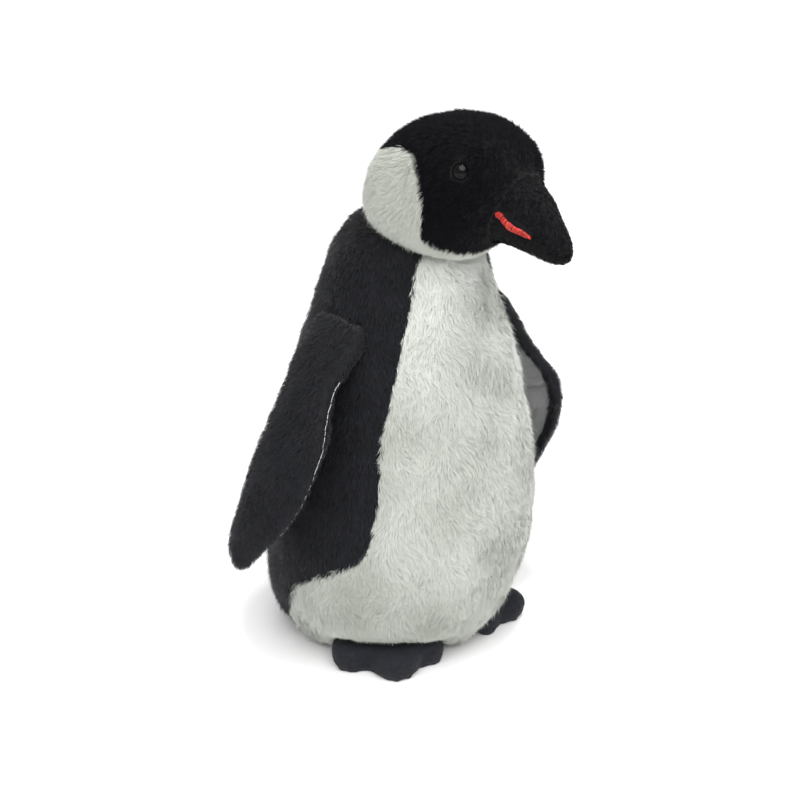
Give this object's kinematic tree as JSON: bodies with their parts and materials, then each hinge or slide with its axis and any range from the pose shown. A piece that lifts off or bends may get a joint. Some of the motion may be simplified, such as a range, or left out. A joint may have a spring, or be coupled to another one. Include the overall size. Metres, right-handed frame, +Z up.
{
  "type": "plush penguin",
  "caption": "Standing stuffed penguin toy with a black back and head, white belly and cheeks, long drooping beak, hinged flippers and flat feet.",
  "frame": {"origin": "middle of the flat underside, on the surface that the toy stands on", "axes": "+Z up, the penguin faces -Y, its left side is +X"},
  "size_m": [0.2414, 0.2082, 0.3303],
  "materials": {
    "black_fur": "soft pile about 6 mm long",
    "white_fur": "soft pile about 6 mm long",
    "cheek_fur": "soft pile about 7 mm long",
    "beak_fur": "short pile about 2 mm long",
    "wing_lining": "short brushed pile",
    "foot_cloth": "short velvety pile",
    "red_thread": "satin stitch",
    "eye_plastic": "polished",
    "washer_plastic": "moulded",
    "fibre_fill": "loose fibre",
    "cotton": "plain weave"
  },
  "bodies": {
    "torso": {"belly_panel": "white_fur", "back_panel_left": "black_fur", "back_panel_right": "black_fur", "base_panel": "white_fur", "pellet_bag": "cotton", "body_stuffing": "fibre_fill", "head_stuffing": "fibre_fill", "crown_panel": "black_fur", "face_panel_left": "black_fur", "face_panel_right": "black_fur", "cheek_patch_left": "cheek_fur", "cheek_patch_right": "cheek_fur", "beak_upper": "beak_fur", "beak_lower": "beak_fur", "beak_stuffing": "fibre_fill", "mouth_stitch_left": "red_thread", "mouth_stitch_right": "red_thread", "eye_left": "eye_plastic", "eye_right": "eye_plastic", "eye_washer_left": "washer_plastic", "eye_washer_right": "washer_plastic"},
    "wing_left": {"wing_outer_left": "black_fur", "wing_lining_left": "wing_lining", "wing_padding_left": "fibre_fill"},
    "foot_left": {"foot_top_left": "foot_cloth", "foot_padding_left": "fibre_fill", "foot_sole_left": "foot_cloth"},
    "wing_right": {"wing_outer_right": "black_fur", "wing_lining_right": "wing_lining", "wing_padding_right": "fibre_fill"},
    "foot_right": {"foot_top_right": "foot_cloth", "foot_padding_right": "fibre_fill", "foot_sole_right": "foot_cloth"}
  },
  "joints": [
    {"name": "wing_left_swing", "type": "hinge", "parent": "torso", "child": "wing_left", "pos_m": [0.0535, -0.008, 0.215], "axis": [0, -1, 0], "range_deg": [-5, 75], "stiffness_Nm_per_rad": 0.05},
    {"name": "wing_right_swing", "type": "hinge", "parent": "torso", "child": "wing_right", "pos_m": [-0.0535, -0.008, 0.215], "axis": [0, 1, 0], "range_deg": [-5, 75], "stiffness_Nm_per_rad": 0.05},
    {"name": "foot_left_tip", "type": "hinge", "parent": "torso", "child": "foot_left", "pos_m": [0.03323, -0.03023, 0], "axis": [-0.7071, -0.7071, 0], "range_deg": [0, 15], "stiffness_Nm_per_rad": 0.02},
    {"name": "foot_right_tip", "type": "hinge", "parent": "torso", "child": "foot_right", "pos_m": [-0.03323, -0.03023, 0], "axis": [-0.7071, 0.7071, 0], "range_deg": [0, 15], "stiffness_Nm_per_rad": 0.02}
  ]
}
